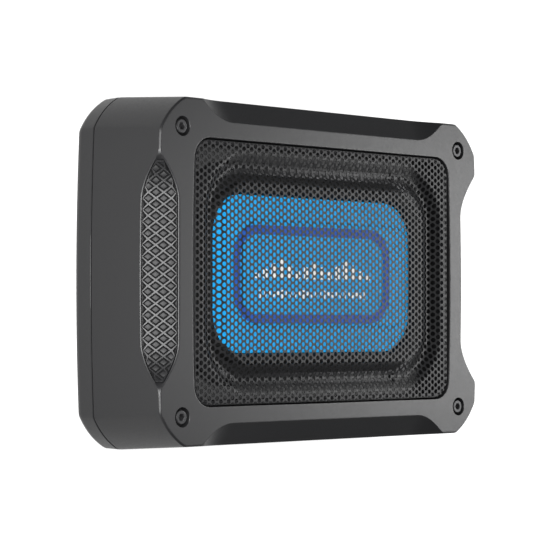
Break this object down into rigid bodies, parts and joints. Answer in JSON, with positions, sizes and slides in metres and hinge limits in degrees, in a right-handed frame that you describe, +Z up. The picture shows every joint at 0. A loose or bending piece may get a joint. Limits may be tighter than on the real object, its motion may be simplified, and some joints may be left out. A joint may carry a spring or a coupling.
{
  "type": "powered car subwoofer",
  "caption": "Slim powered car subwoofer: drafted grey housing, embossed perforated grille over a flat blue diaphragm, lattice grip pads, control bay in one long side.",
  "frame": {"origin": "on the floor under the middle of the box, at the underside of the rubber feet", "axes": "+X along the long side, +Y along the short side away from the control bay, +Z up out of the grille"},
  "size_m": [0.3448, 0.2454, 0.082],
  "materials": {
    "housing_paint": "fine-textured dark grey paint on a die-cast shell",
    "grille_paint": "dark grey powder coat on perforated steel",
    "black_plastic": "moulded black plastic",
    "control_plastic": "black control knobs, sliders and sockets",
    "rubber": "black rubber",
    "plated_steel": "zinc-plated steel",
    "black_steel": "black oxide steel",
    "aluminium": "bare aluminium",
    "copper": "enamelled copper wire",
    "ferrite": "sintered ferrite",
    "blue_cone": "light blue satin diaphragm skin",
    "deep_blue": "deep blue printed band",
    "board": "green solder mask",
    "foam": "grey open-cell foam",
    "spider_cloth": "resin-dipped cotton",
    "white_plastic": "white insert",
    "red_plastic": "red plastic"
  },
  "bodies": {
    "enclosure": {"amplifier_board": "board", "auto_on_switch_body": "plated_steel", "bass_pot": "plated_steel", "choke": "copper", "control_panel": "black_plastic", "cover_seal": "rubber", "damping_foam": "foam", "driver_basket": "black_steel", "driver_gasket": "foam", "driver_terminals": "black_plastic", "front_housing": "housing_paint", "fuse": "red_plastic", "fuse_holder": "black_plastic", "gain_pot": "plated_steel", "grille": "grille_paint", "grille_frame": "black_plastic", "heat_sink": "aluminium", "left_capacitor": "black_plastic", "left_grip_pad": "black_plastic", "left_line_insert": "white_plastic", "left_transistor": "black_plastic", "line_input_block": "plated_steel", "low_pass_pot": "plated_steel", "lower_left_cover_screw": "black_steel", "lower_left_foot": "rubber", "lower_left_housing_screw": "black_steel", "lower_right_cover_screw": "black_steel", "lower_right_foot": "rubber", "lower_right_housing_screw": "black_steel", "magnet": "ferrite", "phase_switch_body": "plated_steel", "power_light": "red_plastic", "power_socket": "black_plastic", "rear_cover": "housing_paint", "remote_port": "black_plastic", "right_capacitor": "black_plastic", "right_grip_pad": "black_plastic", "right_line_insert": "red_plastic", "right_transistor": "black_plastic", "speaker_cable": "rubber", "speaker_level_socket": "black_plastic", "spider": "spider_cloth", "surround": "rubber", "top_plate": "plated_steel", "upper_left_cover_screw": "black_steel", "upper_left_foot": "rubber", "upper_left_housing_screw": "black_steel", "upper_right_cover_screw": "black_steel", "upper_right_foot": "rubber", "upper_right_housing_screw": "black_steel", "yoke": "plated_steel"},
    "cone_assembly": {"diaphragm": "blue_cone", "diaphragm_band": "deep_blue", "coil_former": "aluminium", "voice_coil": "copper"},
    "gain_knob_body": {"gain_knob": "control_plastic"},
    "low_pass_knob_body": {"low_pass_knob": "control_plastic"},
    "bass_knob_body": {"bass_knob": "control_plastic"},
    "phase_slider_body": {"phase_slider": "control_plastic"},
    "auto_on_slider_body": {"auto_on_slider": "control_plastic"}
  },
  "joints": [
    {"name": "cone_travel", "type": "slide", "parent": "enclosure", "child": "cone_assembly", "axis": [0, 0, 1], "range_m": [-0.005, 0.005], "stiffness_N_per_m": 3000, "deforming": ["surround", "spider"]},
    {"name": "gain_turn", "type": "hinge", "parent": "enclosure", "child": "gain_knob_body", "pos_m": [0.022, -0.108, 0.042], "axis": [0, -1, 0], "range_deg": [-140, 140]},
    {"name": "low_pass_turn", "type": "hinge", "parent": "enclosure", "child": "low_pass_knob_body", "pos_m": [0.042, -0.108, 0.042], "axis": [0, -1, 0], "range_deg": [-140, 140]},
    {"name": "bass_turn", "type": "hinge", "parent": "enclosure", "child": "bass_knob_body", "pos_m": [0.062, -0.108, 0.042], "axis": [0, -1, 0], "range_deg": [-140, 140]},
    {"name": "phase_slide", "type": "slide", "parent": "enclosure", "child": "phase_slider_body", "axis": [1, 0, 0], "range_m": [0, 0.0037]},
    {"name": "auto_on_slide", "type": "slide", "parent": "enclosure", "child": "auto_on_slider_body", "axis": [1, 0, 0], "range_m": [0, 0.0037]}
  ]
}
